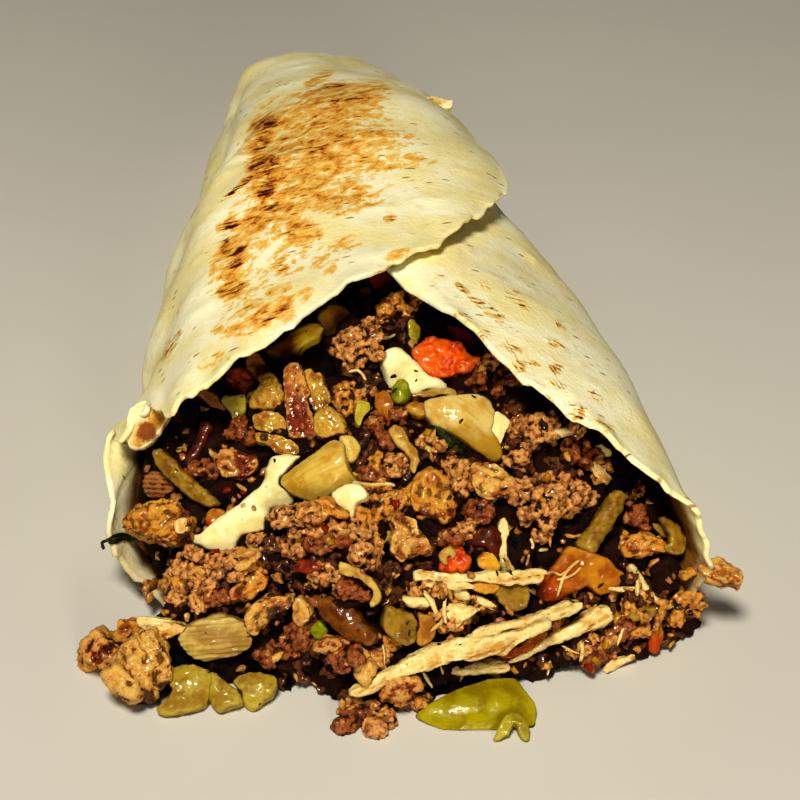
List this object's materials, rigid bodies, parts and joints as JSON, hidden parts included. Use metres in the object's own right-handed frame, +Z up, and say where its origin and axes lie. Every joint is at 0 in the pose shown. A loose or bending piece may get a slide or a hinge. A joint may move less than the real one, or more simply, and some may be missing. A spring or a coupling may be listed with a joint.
{
  "type": "burrito",
  "caption": "Flour tortilla rolled into a flat-bottomed taper, tucked shut at one end, its filling of beef, chicken, onion and peppers spilling from the open mouth.",
  "frame": {"origin": "middle of the bounding box on the table, under the roll", "axes": "+Y along the roll towards the tucked end, the mouth at -Y, +Z up, +X on the right seen from the mouth end"},
  "size_m": [0.115, 0.2146, 0.049],
  "materials": {
    "tortilla": "dry floury bread, toasted golden brown in a patch on the top",
    "filling": "moist crumbled beef",
    "strip": "pale browned strips",
    "pepper": "wet soft-cooked green and amber pepper",
    "tomato": "wet tomato",
    "onion": "translucent soft-cooked onion",
    "celery": "ribbed pale stalk",
    "scallion": "green onion",
    "sauce": "smooth white sauce and melted cheese",
    "chicken": "browned chicken, oily"
  },
  "bodies": {
    "root": {"tortilla": "tortilla", "filling": "filling", "strip_1": "strip", "strip_2": "strip", "strip_3": "strip", "strip_4": "strip", "strip_5": "strip", "pepper_1": "pepper", "pepper_2": "pepper", "pepper_3": "pepper", "pepper_4": "pepper", "pepper_5": "pepper", "pepper_6": "pepper", "pepper_7": "pepper", "pepper_8": "pepper", "tomato_1": "tomato", "tomato_2": "tomato", "tomato_3": "tomato", "tomato_4": "tomato", "onion_1": "onion", "onion_2": "onion", "onion_3": "onion", "onion_4": "onion", "onion_5": "onion", "onion_6": "onion", "onion_7": "onion", "onion_8": "onion", "onion_9": "onion", "onion_10": "onion", "onion_11": "onion", "celery_1": "celery", "curl_1": "onion", "curl_2": "onion", "curl_3": "onion", "scallion_1": "scallion", "scallion_2": "scallion", "sauce_1": "sauce", "sauce_2": "sauce", "sauce_3": "sauce", "sauce_4": "sauce", "chicken_1": "chicken", "chicken_2": "chicken", "chicken_3": "chicken", "chicken_4": "chicken", "chicken_5": "chicken", "chicken_6": "chicken", "chicken_7": "chicken", "chicken_8": "chicken", "chicken_9": "chicken", "chicken_10": "chicken", "chicken_11": "chicken", "chicken_12": "chicken", "chicken_13": "chicken", "chicken_14": "chicken", "chicken_15": "chicken", "chicken_16": "chicken", "chicken_17": "chicken"}
  },
  "joints": []
}
